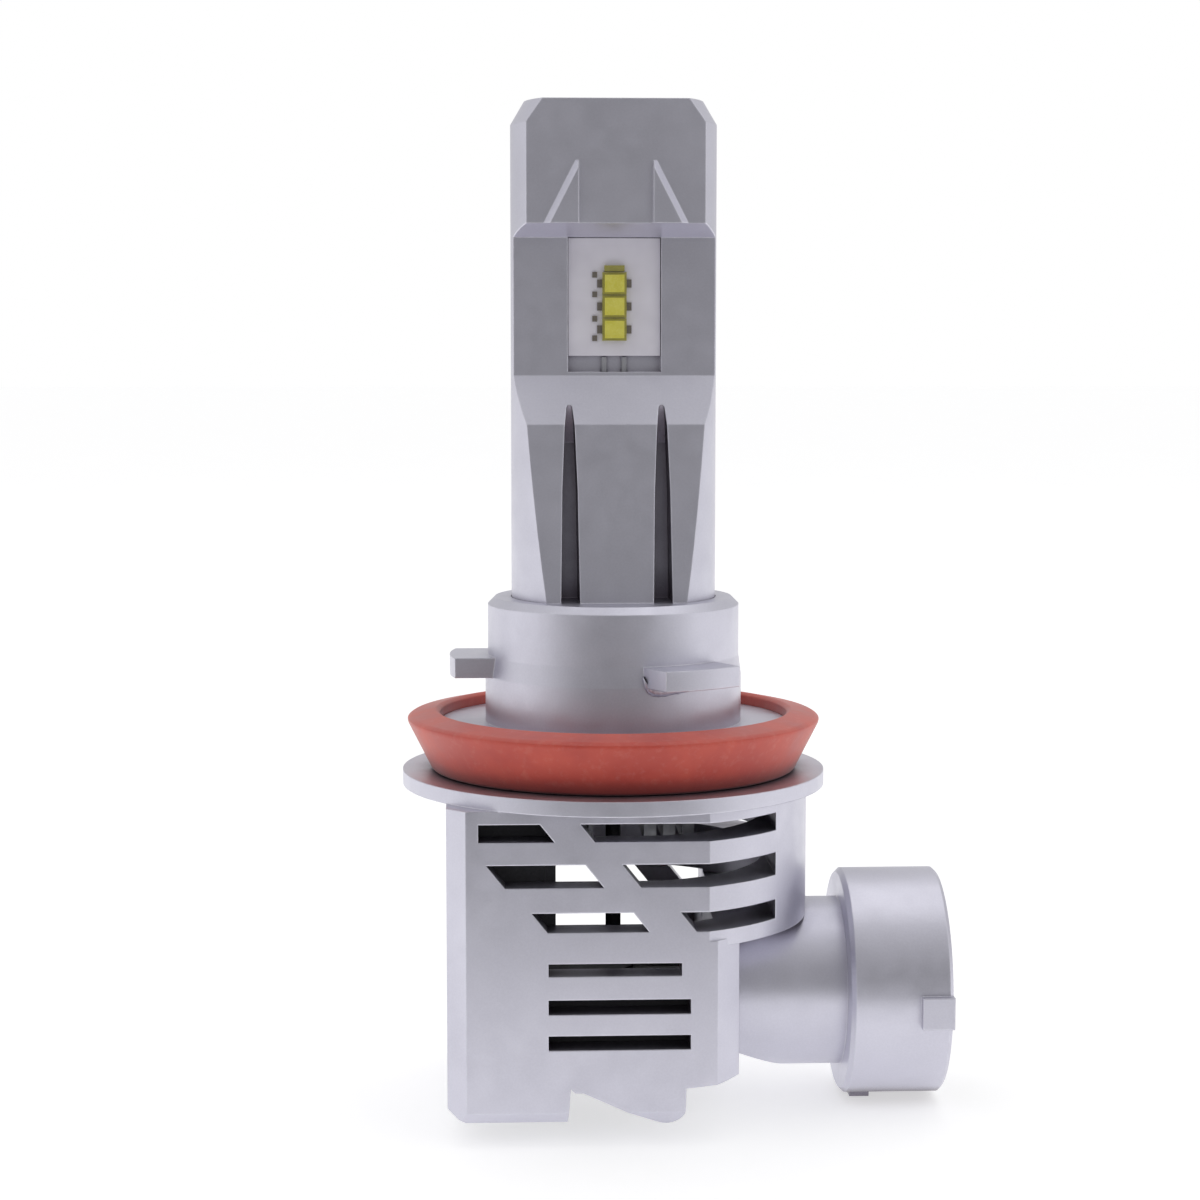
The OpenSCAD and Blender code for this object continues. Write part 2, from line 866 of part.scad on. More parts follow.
module driver_capacitors() {
    color(ceramic_tan)
        for (y = capacitor_y, z = capacitor_z) {
            translate([driver_face, y - capacitor[1] / 2, z - capacitor[2] / 2]) cube(capacitor);
        }
}

module driver_chips() {
    color(plastic_black)
        for (chip = chips) {
            translate([driver_face, chip[0][0], chip[0][1]]) cube(chip[1]);
        }
}

// ---------- leads ----------

function lead_route(side) = [
    [side * lead_x, -side * lead_y, board_lead_z],
    [side * lead_x, -side * lead_y, -5],
    [0, -side * 0.23, -8.6],
    [0, -side * 0.23, -20.2],
    [-2.4, -side * 1.0, -20.6],
    [lead_hole_x, -side * lead_hole_y[2], -20.2],
    [lead_hole_x, -side * lead_hole_y[2], tray_lead_z]
];

module led_lead_positive() {
    color(lead_white) wire(lead_route(1), thin_lead_r);
}

module led_lead_negative() {
    color(lead_black) wire(lead_route(-1), thin_lead_r);
}

// Joins the two emitter boards in series through the lead bore
module board_link_lead() {
    link_z = 10.5;
    color(lead_white)
        wire([
            [-lead_x, -lead_y, board_lead_z], [-lead_x, -lead_y, link_z],
            [lead_x, lead_y, link_z], [lead_x, lead_y, board_lead_z]
        ], thin_lead_r);
}

module lead_sleeve() {
    length = sleeve_z[1] - sleeve_z[0];
    color(plastic_black)
        translate([0, 0, sleeve_z[0]])
            difference() {
                cylinder(r = sleeve_r, h = length, $fn = 48);
                translate([0, 0, -1])
                    cylinder(r = sleeve_r - sleeve_wall, h = length + 2, $fn = 48);
            }
}

function fan_lead_route(side) = [
    [fan_x - 3.34, side * 0.6, -26.67],
    [fan_x - 4.1, side * 0.9, -26.67],
    [fan_x - 5.4, side * 1.5, -27.2],
    [fan_x - 8.72, side * 3.0, -27.2],
    [fan_x - 8.72, side * 3.0, -21.2],
    [lead_hole_x, side * lead_hole_y[3], -20.6],
    [lead_hole_x, side * lead_hole_y[3], tray_lead_z]
];

module fan_leads() {
    color(lead_red)
        for (side = [-1, 1]) {
            wire(fan_lead_route(side), fan_lead_r);
        }
}

// ---------- fan ----------

module fan_frame() {
    color(plastic_black)
        translate([fan_x, 0, 0])
            difference() {
                union() {
                    difference() {
                        translate([-fan_half_x, -fan_half_y, fan_bottom])
                            cube([2 * fan_half_x, 2 * fan_half_y, fan_top - fan_bottom]);
                        translate([0, 0, fan_bottom - 1])
                            cylinder(r = fan_bore_r, h = fan_top - fan_bottom + 2);
                    }
                    translate([0, 0, fan_bottom])
                        cylinder(r = base_r, h = base_top - fan_bottom);
                    for (a = strut_angles) {
                        rotate([0, 0, a])
                            translate([base_r - 0.4, -strut_w / 2, fan_bottom])
                                cube([fan_bore_r - base_r + 0.8, strut_w, base_top - fan_bottom]);
                    }
                    translate([0, 0, fan_bottom])
                        cylinder(r = tube_r, h = tube_top - fan_bottom, $fn = 48);
                }
                translate([0, 0, fan_bottom + 0.3])
                    cylinder(r = bearing_r, h = 6, $fn = 48);
                for (sx = [-1, 1], sy = [-1, 1]) {
                    translate([sx * fan_screw_at[0], sy * fan_screw_at[1], fan_bottom - 1])
                        cylinder(r = fan_screw_gap_r, h = 8, $fn = 24);
                }
                // Channel for the two fan leads
                translate([-fan_half_x - 1, -lead_channel[1] / 2, fan_bottom - 1])
                    cube([lead_channel[0] + 1, lead_channel[1], 8]);
                for (sy = [-1, 1]) {
                    translate([
                        -fan_half_x - 1, sy * lead_exit_y - lead_exit[1] / 2, fan_bottom - 1
                    ])
                        cube([lead_exit[0] + 1, lead_exit[1], lead_exit[2] + 1]);
                }
            }
}

module fan_bearing() {
    color(bronze)
        translate([fan_x, 0, bearing_z])
            difference() {
                cylinder(r = bearing_r, h = tube_top - bearing_z, $fn = 48);
                translate([0, 0, -1]) cylinder(r = shaft_r + shaft_gap, h = 8, $fn = 48);
            }
}

module fan_circuit_board() {
    color(board_green)
        translate([fan_x, 0, fan_board_z[0]])
            difference() {
                cylinder(r = fan_board_r, h = fan_board_z[1] - fan_board_z[0], $fn = 64);
                translate([0, 0, -1]) cylinder(r = tube_r + fit_gap, h = 3, $fn = 48);
            }
}

module stator_pole() {
    height = stator_z[1] - stator_z[0];
    translate([tube_r, -pole_w / 2, 0]) cube([pole_reach, pole_w, height]);
    intersection() {
        translate([tube_r + pole_reach - fit_gap, -shoe_w / 2, 0]) cube([1, shoe_w, height]);
        cylinder(r = stator_r, h = 3, $fn = 64);
    }
}

module fan_stator() {
    color(steel_grey)
        translate([fan_x, 0, stator_z[0]])
            difference() {
                union() {
                    cylinder(r = tube_r + 0.35, h = stator_z[1] - stator_z[0], $fn = 48);
                    for (a = pole_angles) {
                        rotate([0, 0, a]) stator_pole();
                    }
                }
                translate([0, 0, -1]) cylinder(r = tube_r + 0.02, h = 4, $fn = 48);
            }
}

module fan_coils() {
    height = stator_z[1] - stator_z[0];
    color(copper_red)
        translate([fan_x, 0, 0])
            for (a = pole_angles) {
                rotate([0, 0, a])
                    difference() {
                        translate([tube_r + coil_at, -coil_outer, stator_z[0] - coil_over])
                            cube([coil_l, 2 * coil_outer, height + 2 * coil_over]);
                        translate([tube_r, -coil_inner, stator_z[0] - 0.02])
                            cube([2, 2 * coil_inner, height + 0.04]);
                    }
            }
}

module fan_blade() {
    intersection() {
        translate([0, 0, (hub_top + rotor_bottom) / 2])
            rotate([blade_tilt, 0, 0])
                translate([hub_r - 0.2, -blade_t / 2, -4])
                    cube([blade_r, blade_t, 8]);
        translate([0, 0, rotor_bottom])
            difference() {
                cylinder(r = blade_r, h = hub_top - rotor_bottom - 0.1);
                translate([0, 0, -1]) cylinder(r = hub_r - 0.1, h = 8);
            }
    }
}

module fan_impeller() {
    color(fan_black)
        translate([fan_x, 0, 0]) {
            difference() {
                union() {
                    translate([0, 0, rotor_bottom])
                        cylinder(r = hub_r, h = hub_top - rotor_bottom);
                    for (i = [0 : blade_count - 1]) {
                        rotate([0, 0, i * 360 / blade_count]) fan_blade();
                    }
                }
                difference() {
                    translate([0, 0, rotor_bottom - 1])
                        cylinder(r = hub_inner_r, h = hub_top - hub_skin - rotor_bottom + 1);
                    translate([0, 0, hub_top - hub_skin - 0.6])
                        cylinder(r = 1.1, h = 2, $fn = 48);
                }
                translate([0, 0, rotor_bottom - 1])
                    cylinder(r = shaft_r, h = hub_top - rotor_bottom - shaft_end + 1, $fn = 48);
            }
        }
}

module fan_magnet() {
    color(magnet_grey)
        translate([fan_x, 0, rotor_bottom])
            difference() {
                cylinder(r = hub_inner_r, h = magnet_h);
                translate([0, 0, -1]) cylinder(r = magnet_r, h = 5);
            }
}

module fan_shaft() {
    bottom = fan_bottom + 0.36;
    top = hub_top - shaft_end;
    color(steel_grey)
        translate([fan_x, 0, bottom])
            difference() {
                cylinder(r = shaft_r, h = top - bottom, $fn = 48);
                // Groove for the retaining ring
                translate([0, 0, 0.05])
                    difference() {
                        cylinder(r = shaft_r + 0.3, h = 0.16, $fn = 48);
                        translate([0, 0, -1]) cylinder(r = shaft_r - 0.1, h = 3, $fn = 48);
                    }
            }
}

module fan_retainer() {
    color(steel_grey)
        translate([fan_x, 0, retainer_z])
            difference() {
                cylinder(r = retainer_r, h = retainer_t, $fn = 48);
                translate([0, 0, -1]) cylinder(r = shaft_r - 0.1, h = 3, $fn = 48);
            }
}

module fan_guard() {
    color(cast_silver)
        translate([fan_x, 0, fan_bottom - guard_t - 0.02])
            difference() {
                translate([-fan_half_x, -fan_half_y, 0])
                    cube([2 * fan_half_x, 2 * fan_half_y, guard_t]);
                for (r = guard_rings) {
                    difference() {
                        translate([0, 0, -1]) cylinder(r = r + guard_ring_gap, h = 3);
                        translate([0, 0, -2]) cylinder(r = r, h = 5);
                        for (a = [0, 90]) {
                            rotate([0, 0, a + 45])
                                translate([-10, -spoke_w / 2, -2]) cube([20, spoke_w, 5]);
                        }
                    }
                }
                for (sx = [-1, 1], sy = [-1, 1]) {
                    translate([sx * fan_screw_at[0], sy * fan_screw_at[1], -1])
                        cylinder(r = fan_screw_gap_r, h = 3, $fn = 24);
                }
            }
}

module fan_screws() {
    color(steel_grey)
        for (sx = [-1, 1], sy = [-1, 1]) {
            translate([fan_x + sx * fan_screw_at[0], sy * fan_screw_at[1], fan_bottom - guard_t - 0.04])
                screw_up(fan_screw);
        }
}

// ---------- connector ----------

module connector_shroud() {
    color(cast_silver)
        difference() {
            union() {
                difference() {
                    turned_x([
                        [lower_right + 0.03, 0], [neck_end + 0.1, 0], [neck_end + 0.1, neck_r],
                        [lower_right + 0.03, neck_r]
                    ]);
                    // Slanted underside where the neck meets the housing
                    translate([lower_right, 0, side_foot_z - 0.1])
                        rotate([0, atan2(underside_rise, underside_run), 0])
                            translate([-3, -10, -10]) cube([20, 20, 10]);
                }
                turned_x([
                    [lower_inner_right, 0], [lower_right + 1, 0],
                    [lower_right + 1, spigot_r], [lower_inner_right, spigot_r]
                ]);
                turned_x([
                    [neck_end, 0], [hood_end, 0], [hood_end, hood_r - hood_bevel],
                    [hood_end - hood_bevel, hood_r], [neck_end + hood_back_bevel, hood_r],
                    [neck_end, hood_r - hood_back_bevel]
                ]);
                // Lock nub on the front, and a key rib underneath
                translate([hood_end - nub[0], -hood_r - nub_proud, axis_z - 1.7])
                    cube(nub);
                translate([neck_end + 0.9, -key_rib[1] / 2, axis_z - hood_r - key_rib_proud])
                    cube(key_rib);
            }
            turned_x([
                [hood_floor_x, 0], [hood_end + 1, 0], [hood_end + 1, mouth_r],
                [hood_end - mouth_depth, mouth_r], [hood_end - mouth_depth, hood_r - hood_wall],
                [hood_floor_x, hood_r - hood_wall]
            ]);
            turned_x([
                [lower_right + 1.6, 0], [hood_floor_x + 1, 0], [hood_floor_x + 1, neck_bore_r],
                [lower_right + 1.6, neck_bore_r]
            ]);
            turned_x([
                [lower_inner_right - 1, 0], [lower_right + 2, 0],
                [lower_right + 2, spigot_bore_r], [lower_inner_right - 1, spigot_bore_r]
            ]);
            // Groove for the O-ring
            turned_x([
                [ring_groove_x[0], spigot_r - ring_groove_depth],
                [ring_groove_x[1], spigot_r - ring_groove_depth],
                [ring_groove_x[1], spigot_r + 1], [ring_groove_x[0], spigot_r + 1]
            ]);
        }
}

module shroud_o_ring() {
    ring_r = 0.23;
    color(plastic_black)
        translate([lower_inner_right + 0.82, 0, axis_z])
            rotate([0, 90, 0])
                rotate_extrude()
                    translate([spigot_r - 0.2, 0]) circle(r = ring_r, $fn = 32);
}

module terminal_carrier() {
    color(plastic_black)
        difference() {
            turned_x([
                [carrier_back, 0], [carrier_face, 0],
                [carrier_face, hood_r - hood_wall - fit_gap],
                [hood_floor_x + 0.03, hood_r - hood_wall - fit_gap],
                [hood_floor_x + 0.03, neck_bore_r - fit_gap],
                [carrier_back, neck_bore_r - fit_gap]
            ]);
            for (side = [-1, 1]) {
                translate([
                    lower_right, side * blade_y - blade_w / 2 - 0.02,
                    axis_z - blade_h / 2 - 0.02
                ])
                    cube([20, blade_w + 0.04, blade_h + 0.04]);
            }
        }
}

// Flat blade with a chamfered tip and a narrow solder tail
module terminal(side) {
    tail = lower_right + 0.4;
    root = lower_right + 2;
    color(tin)
        translate([0, side * blade_y + blade_w / 2, axis_z])
            rotate([90, 0, 0])
                linear_extrude(height = blade_w)
                    polygon([
                        [root, -blade_h / 2], [blade_end - tip_chamfer[0], -blade_h / 2],
                        [blade_end, -blade_h / 2 + tip_chamfer[1]],
                        [blade_end, blade_h / 2 - tip_chamfer[1]],
                        [blade_end - tip_chamfer[0], blade_h / 2], [root, blade_h / 2],
                        [root, tail_half], [tail, tail_half], [tail, -tail_half],
                        [root, -tail_half]
                    ]);
}

module terminal_positive() { terminal(1); }
module terminal_negative() { terminal(-1); }

function input_route(side) = [
    [lower_right + 0.9, side * 1.83, axis_z + 0.75],
    [lower_inner_right + 0.3, side * 1.0, axis_z + 2.22],
    [lower_inner_right - 2.4, side * 1.7, -21.2],
    [-3.0, side * 3.0, -21.1],
    [driver_board_x + 2.3, side * 5.0, -20.3],
    [driver_board_x + 2.2, side * 5.0, tray_z[0] - 0.1]
];

module input_lead_positive() {
    color(lead_red) wire(input_route(1), input_lead_r);
}

module input_lead_negative() {
    color(lead_black) wire(input_route(-1), input_lead_r);
}

lamp_column();
copper_core();
led_board_front();
led_board_rear();
led_emitters_front();
led_emitters_rear();
led_phosphor_front();
led_phosphor_rear();
solder_pads_front();
solder_pads_rear();
mounting_collar();
sealing_gasket();
housing();
inner_heat_sink();
column_screws();
collar_screws();
driver_tray();
driver_cover();
driver_board();
driver_inductor();
driver_capacitors();
driver_chips();
led_lead_positive();
led_lead_negative();
board_link_lead();
lead_sleeve();
fan_frame();
fan_bearing();
fan_circuit_board();
fan_stator();
fan_coils();
fan_impeller();
fan_magnet();
fan_shaft();
fan_retainer();
fan_guard();
fan_screws();
fan_leads();
connector_shroud();
shroud_o_ring();
terminal_carrier();
terminal_positive();
terminal_negative();
input_lead_positive();
input_lead_negative();
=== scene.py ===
"""Studio scene of an all-in-one LED headlight bulb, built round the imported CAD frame."""

import json
import math
import random

import bmesh
import bpy
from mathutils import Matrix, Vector


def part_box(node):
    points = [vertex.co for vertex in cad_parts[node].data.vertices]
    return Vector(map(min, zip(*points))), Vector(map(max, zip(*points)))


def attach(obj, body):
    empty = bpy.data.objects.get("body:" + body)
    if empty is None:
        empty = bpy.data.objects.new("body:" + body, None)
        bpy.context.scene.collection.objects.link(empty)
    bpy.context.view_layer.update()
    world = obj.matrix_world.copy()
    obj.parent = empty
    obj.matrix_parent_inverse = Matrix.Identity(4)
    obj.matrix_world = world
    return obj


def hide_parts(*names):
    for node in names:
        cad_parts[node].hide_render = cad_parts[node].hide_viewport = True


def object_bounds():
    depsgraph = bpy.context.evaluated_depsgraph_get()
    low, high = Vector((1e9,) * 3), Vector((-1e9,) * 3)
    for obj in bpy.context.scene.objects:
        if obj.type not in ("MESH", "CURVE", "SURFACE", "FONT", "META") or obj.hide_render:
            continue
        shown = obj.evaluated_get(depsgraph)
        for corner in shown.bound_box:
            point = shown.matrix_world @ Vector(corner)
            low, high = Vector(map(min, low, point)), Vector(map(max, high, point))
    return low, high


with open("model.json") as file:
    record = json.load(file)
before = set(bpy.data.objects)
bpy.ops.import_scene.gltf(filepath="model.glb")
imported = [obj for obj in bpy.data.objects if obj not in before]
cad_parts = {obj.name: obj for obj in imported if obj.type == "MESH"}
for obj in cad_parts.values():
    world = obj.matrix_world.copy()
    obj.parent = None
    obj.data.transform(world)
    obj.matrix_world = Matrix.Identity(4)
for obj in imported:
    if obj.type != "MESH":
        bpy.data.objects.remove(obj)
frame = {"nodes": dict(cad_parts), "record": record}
CAD_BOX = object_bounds()
MM = 0.001
LAMP = "lamp"


# ---------------------------------------------------------------- node helpers

class Shader:
    """A small builder for one material's nodes."""

    def __init__(self, name):
        self.material = bpy.data.materials.new(name)
        self.material.use_nodes = True
        self.tree = self.material.node_tree
        self.bsdf = self.tree.nodes["Principled BSDF"]
        self.coords = self.add("ShaderNodeTexCoord").outputs["Object"]

    def add(self, kind, **settings):
        """A new node of a kind, with its own settings."""
        node = self.tree.nodes.new(kind)
        for key, value in settings.items():
            setattr(node, key, value)
        return node

    def link(self, output, socket):
        """Links an output to a socket."""
        self.tree.links.new(output, socket)

    def put(self, socket, value):
        """Sets a constant, or links an output, to a socket."""
        if isinstance(value, bpy.types.NodeSocket):
            self.link(value, socket)
        else:
            socket.default_value = value

    def surface(self, **values):
        """Sets the shader's own sockets by name, such as Base_Color."""
        for key, value in values.items():
            self.put(self.bsdf.inputs[key.replace("_", " ")], value)

    def stretched(self, scale):
        """Object coordinates scaled along each axis: above 1 packs a pattern closer."""
        node = self.add("ShaderNodeMapping")
        self.link(self.coords, node.inputs["Vector"])
        node.inputs["Scale"].default_value = scale
        return node.outputs["Vector"]

    def noise(self, size, detail=3.0, rough=0.55, vector=None):
        """Noise whose features are about size millimetres across, from 0 to 1."""
        node = self.add("ShaderNodeTexNoise")
        self.link(vector or self.coords, node.inputs["Vector"])
        node.inputs["Scale"].default_value = 1.0 / (size * MM)
        node.inputs["Detail"].default_value = detail
        node.inputs["Roughness"].default_value = rough
        return node.outputs["Fac"]

    def cells(self, size, feature="F1"):
        """Distance in a pattern of cells about size millimetres across."""
        node = self.add("ShaderNodeTexVoronoi", feature=feature)
        self.link(self.coords, node.inputs["Vector"])
        node.inputs["Scale"].default_value = 1.0 / (size * MM)
        return node.outputs["Distance"]

    def remap(self, value, low, high, to_low=0.0, to_high=1.0):
        """The value moved from the range low to high to the range to_low to to_high."""
        node = self.add("ShaderNodeMapRange")
        self.link(value, node.inputs["Value"])
        node.inputs["From Min"].default_value = low
        node.inputs["From Max"].default_value = high
        node.inputs["To Min"].default_value = to_low
        node.inputs["To Max"].default_value = to_high
        return node.outputs["Result"]

    def spread(self, noise, to_low=0.0, to_high=1.0):
        """Noise stretched from the middle of its range, where most of it lies."""
        return self.remap(noise, 0.3, 0.7, to_low, to_high)

    def faded(self, value, strength):
        """A value from 0 to 1 brought down to 0 to strength."""
        return self.remap(value, 0.0, 1.0, 0.0, strength)

    def mix(self, factor, first, second):
        """The first colour at factor 0, the second at factor 1."""
        node = self.add("ShaderNodeMix", data_type="RGBA")
        self.put(node.inputs["Factor"], factor)
        self.put(node.inputs["A"], first)
        self.put(node.inputs["B"], second)
        return node.outputs["Result"]

    def product(self, first, second):
        """Two values multiplied."""
        node = self.add("ShaderNodeMath", operation="MULTIPLY")
        self.link(first, node.inputs[0])
        self.link(second, node.inputs[1])
        return node.outputs["Value"]

    def rounded_normal(self, radius, samples):
        """The surface normal with the edges rounded to radius millimetres."""
        node = self.add("ShaderNodeBevel", samples=samples)
        node.inputs["Radius"].default_value = radius * MM
        return node.outputs["Normal"]

    def edges(self, radius):
        """1 on edges and in corners, within radius millimetres, and 0 on open faces."""
        rounded = self.rounded_normal(radius, 6)
        plain = self.add("ShaderNodeNewGeometry").outputs["Normal"]
        dot = self.add("ShaderNodeVectorMath", operation="DOT_PRODUCT")
        self.link(rounded, dot.inputs[0])
        self.link(plain, dot.inputs[1])
        flat, edge = 0.995, 0.80
        return self.remap(dot.outputs["Value"], flat, edge)

    def darkened(self, colour, shade, reach, closed, open_face):
        """The colour, going to shade where faces within reach millimetres close it in.

        It is all shade at an openness of closed, and untouched from open_face up.
        """
        node = self.add("ShaderNodeAmbientOcclusion", samples=8, only_local=False)
        node.inputs["Distance"].default_value = reach * MM
        return self.mix(self.remap(node.outputs["AO"], closed, open_face), shade, colour)

    def bump(self, height, strength, depth, under=None):
        """Bump of the given depth in millimetres."""
        node = self.add("ShaderNodeBump")
        node.inputs["Strength"].default_value = strength
        node.inputs["Distance"].default_value = depth * MM
        self.link(height, node.inputs["Height"])
        if under is not None:
            self.link(under, node.inputs["Normal"])
        return node.outputs["Normal"]


# ---------------------------------------------------------------- materials

def cast_silver():
    """Satin silver paint over a fine die casting, whose edges the paint rounds."""
    dark_paint, pale_paint = (0.60, 0.592, 0.675, 1), (0.66, 0.652, 0.74, 1)
    flake_glint_colour, worn_and_highlit_edge_colour = (0.76, 0.755, 0.85, 1), (0.88, 0.88, 0.94, 1)
    groove_shade = (0.15, 0.125, 0.165, 1)
    s = Shader("cast_silver")
    soft_edges = s.rounded_normal(0.13, 8)
    cloud = s.noise(7.0, 2.0)
    grain = s.noise(0.35, 4.0, 0.7)
    glinting_flakes = s.cells(0.16)
    # Lighter edges: paint worn through at the edges, and a painted edge highlight
    wear_and_edge_highlight = s.product(s.edges(0.28), s.remap(s.noise(0.9), 0.35, 0.65))
    base = s.mix(s.spread(cloud), dark_paint, pale_paint)
    # Paint flakes, lightened in colour as painted glints
    base = s.mix(s.remap(glinting_flakes, 0.0, 0.9, 0.0, 0.22), base, flake_glint_colour)
    base = s.mix(s.faded(wear_and_edge_highlight, 0.45), base, worn_and_highlit_edge_colour)
    # Painted shade: the colour goes dark in grooves, slots and recesses, and under the seal
    base = s.darkened(base, groove_shade, reach=2.4, closed=0.12, open_face=0.58)
    casting_skin = s.bump(s.noise(2.4, 2.0), 0.12, 0.05, soft_edges)
    s.surface(
        Base_Color=base, Metallic=0.88, Roughness=s.spread(s.noise(1.6), 0.34, 0.44),
        Normal=s.bump(grain, 0.22, 0.03, casting_skin), Coat_Weight=0.12, Coat_Roughness=0.22,
    )
    return s.material


def bare_aluminium():
    """Milled or stamped aluminium with fine lines square to Y."""
    s = Shader("bare_aluminium")
    lines = s.noise(0.5, 3.0, 0.6, s.stretched((1.0, 8.0, 1.0)))
    s.surface(
        Base_Color=s.mix(lines, (0.50, 0.51, 0.53, 1), (0.72, 0.73, 0.75, 1)), Metallic=1.0,
        Roughness=s.remap(lines, 0.2, 0.8, 0.28, 0.46), Normal=s.bump(lines, 0.2, 0.02),
    )
    return s.material


def seal_red():
    """Moulded silicone: slightly mottled, satin, with a faint dusting."""
    deep_red, bright_red = (0.56, 0.068, 0.046, 1), (0.66, 0.098, 0.064, 1)
    dust_colour, corner_shade = (0.82, 0.46, 0.42, 1), (0.16, 0.018, 0.020, 1)
    s = Shader("seal_red")
    mottle = s.remap(s.noise(3.5), 0.35, 0.65)
    dust = s.remap(s.noise(0.6, 4.0, 0.65), 0.52, 0.72)
    base = s.mix(mottle, deep_red, bright_red)
    base = s.mix(s.faded(dust, 0.10), base, dust_colour)
    # Painted shade: the colour goes dark in the seal's corners and where it meets the flange
    base = s.darkened(base, corner_shade, reach=3.5, closed=0.20, open_face=0.62)
    s.surface(
        Base_Color=base, Roughness=s.remap(mottle, 0.0, 1.0, 0.40, 0.52),
        Normal=s.bump(s.noise(0.5), 0.22, 0.03), Subsurface_Weight=0.12,
        Subsurface_Radius=(0.0012, 0.0004, 0.0003), Sheen_Weight=0.25,
        Specular_IOR_Level=0.45,
    )
    return s.material


def board_white():
    """Satin white solder mask, slightly clouded and uneven."""
    s = Shader("board_white")
    cloud = s.noise(2.2, 2.0)
    s.surface(
        Base_Color=s.mix(s.spread(cloud), (0.80, 0.775, 0.86, 1), (0.87, 0.845, 0.93, 1)),
        Roughness=s.spread(cloud, 0.34, 0.46), Normal=s.bump(s.noise(0.3), 0.2, 0.012),
    )
    return s.material


def emitter_substrate():
    """Olive base that the phosphor tiles sit on."""
    s = Shader("emitter_substrate")
    grain = s.noise(0.22)
    base = s.mix(grain, (0.32, 0.295, 0.070, 1), (0.46, 0.43, 0.12, 1))
    s.surface(Base_Color=base, Roughness=0.55, Normal=s.bump(grain, 0.3, 0.01))
    return s.material


def phosphor():
    """Yellow converter tile: fine pale crystal grain over broader patches."""
    deep_yellow, pale_yellow = (0.72, 0.66, 0.075, 1), (0.80, 0.75, 0.14, 1)
    crystal = (0.88, 0.85, 0.32, 1)
    s = Shader("phosphor")
    grain = s.noise(0.12, 4.0, 0.7)
    base = s.mix(s.spread(s.noise(0.9, 2.0)), deep_yellow, pale_yellow)
    base = s.mix(s.remap(grain, 0.45, 0.75, 0.0, 0.4), base, crystal)
    s.surface(
        Base_Color=base, Roughness=s.spread(grain, 0.30, 0.5),
        Normal=s.bump(grain, 0.3, 0.012), Subsurface_Weight=0.2,
        Subsurface_Radius=(0.0003, 0.0003, 0.0001),
    )
    return s.material


def solder():
    """Dull, blotched solder."""
    s = Shader("solder")
    blotch = s.noise(0.25)
    base = s.mix(blotch, (0.17, 0.15, 0.13, 1), (0.30, 0.27, 0.24, 1))
    s.surface(Base_Color=base, Metallic=0.5, Roughness=0.42, Normal=s.bump(blotch, 0.4, 0.02))
    return s.material


def moulded_black(name, tint=(0.018, 0.018, 0.021), rough=0.5, grain_size=0.18):
    """Black moulded plastic with a fine spark-eroded texture and greyed edges."""
    grain_lift = 2.4
    edge_colour = (0.12, 0.12, 0.13, 1)
    s = Shader(name)
    grain = s.noise(grain_size, 3.0, 0.65)
    lighter = [channel * grain_lift for channel in tint]
    base = s.mix(s.spread(grain), (*tint, 1), (*lighter, 1))
    base = s.mix(s.faded(s.edges(0.15), 0.35), base, edge_colour)
    s.surface(
        Base_Color=base, Roughness=s.spread(grain, rough - 0.08, rough + 0.1),
        Normal=s.bump(grain, 0.35, 0.02),
    )
    return s.material


def bright_metal(name, low, high, rough=0.3):
    """Turned or stamped metal with fine lines square to Z."""
    s = Shader(name)
    lines = s.noise(0.4, 3.0, 0.6, s.stretched((1.0, 1.0, 6.0)))
    s.surface(
        Base_Color=s.mix(lines, (*low, 1), (*high, 1)), Metallic=1.0,
        Roughness=s.remap(lines, 0.2, 0.8, rough - 0.06, rough + 0.12),
        Normal=s.bump(lines, 0.25, 0.012),
    )
    return s.material


def circuit_board():
    """Green solder mask, lighter over copper areas and darker in the gaps between them."""
    gap_green, copper_green = (0.012, 0.075, 0.035, 1), (0.030, 0.150, 0.070, 1)
    weave_green = (0.05, 0.22, 0.10, 1)
    s = Shader("circuit_board")
    areas = s.remap(s.cells(1.3, "DISTANCE_TO_EDGE"), 0.06, 0.09)
    weave = s.remap(s.noise(0.3, 2.0), 0.4, 0.7, 0.0, 0.2)
    base = s.mix(weave, s.mix(areas, gap_green, copper_green), weave_green)
    s.surface(Base_Color=base, Roughness=0.32, Normal=s.bump(areas, 0.5, 0.02))
    return s.material


def sintered(name, low, high, rough):
    """Fired or sintered body: speckled and matt."""
    s = Shader(name)
    specks = s.noise(0.16, 4.0, 0.7)
    s.surface(
        Base_Color=s.mix(s.spread(specks), (*low, 1), (*high, 1)),
        Roughness=s.spread(specks, rough - 0.08, rough + 0.08),
        Normal=s.bump(specks, 0.4, 0.02),
    )
    return s.material


def insulation(name, low, high):
    """Extruded lead insulation with faint streaks drawn out along Z."""
    s = Shader(name)
    streaks = s.noise(0.5, 2.0, 0.5, s.stretched((1.0, 1.0, 0.2)))
    s.surface(
        Base_Color=s.mix(s.spread(streaks), (*low, 1), (*high, 1)),
        Roughness=s.spread(streaks, 0.35, 0.5), Normal=s.bump(streaks, 0.2, 0.02),
    )
    return s.material


